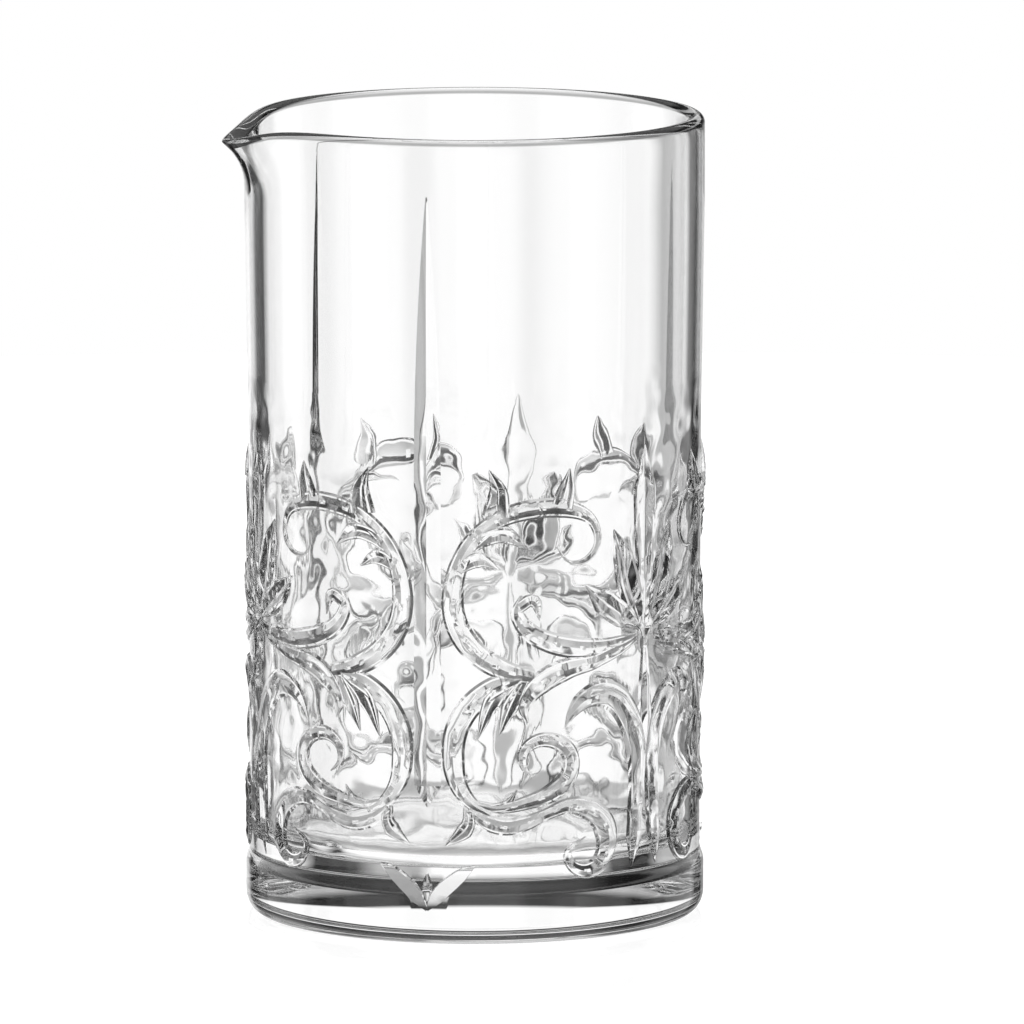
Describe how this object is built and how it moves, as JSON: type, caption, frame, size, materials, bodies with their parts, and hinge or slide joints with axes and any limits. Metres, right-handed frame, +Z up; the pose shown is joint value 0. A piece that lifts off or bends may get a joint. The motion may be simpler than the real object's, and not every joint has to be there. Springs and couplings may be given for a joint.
{
  "type": "cocktail mixing glass",
  "caption": "Tall thick-walled clear glass tumbler with a heavy base, a small pouring lip at the rim and a band of moulded foliate scroll relief, for stirring and straining drinks.",
  "frame": {"origin": "middle of the flat underside, on the axis of the vessel", "axes": "+Z up along the vessel's axis, the pouring lip along -X"},
  "size_m": [0.095, 0.0904, 0.157],
  "materials": {
    "clear_glass": "fire-polished, clear and colourless"
  },
  "bodies": {
    "root": {"base": "clear_glass", "wall": "clear_glass", "rim": "clear_glass", "rib_1": "clear_glass", "chevron_1": "clear_glass", "scrollwork_1_right": "clear_glass", "scrollwork_1_left": "clear_glass", "palmette_1": "clear_glass", "arch_1": "clear_glass", "rib_2": "clear_glass", "chevron_2": "clear_glass", "scrollwork_2_right": "clear_glass", "scrollwork_2_left": "clear_glass", "palmette_2": "clear_glass", "arch_2": "clear_glass", "rib_3": "clear_glass", "chevron_3": "clear_glass", "scrollwork_3_right": "clear_glass", "scrollwork_3_left": "clear_glass", "palmette_3": "clear_glass", "arch_3": "clear_glass"}
  },
  "joints": []
}
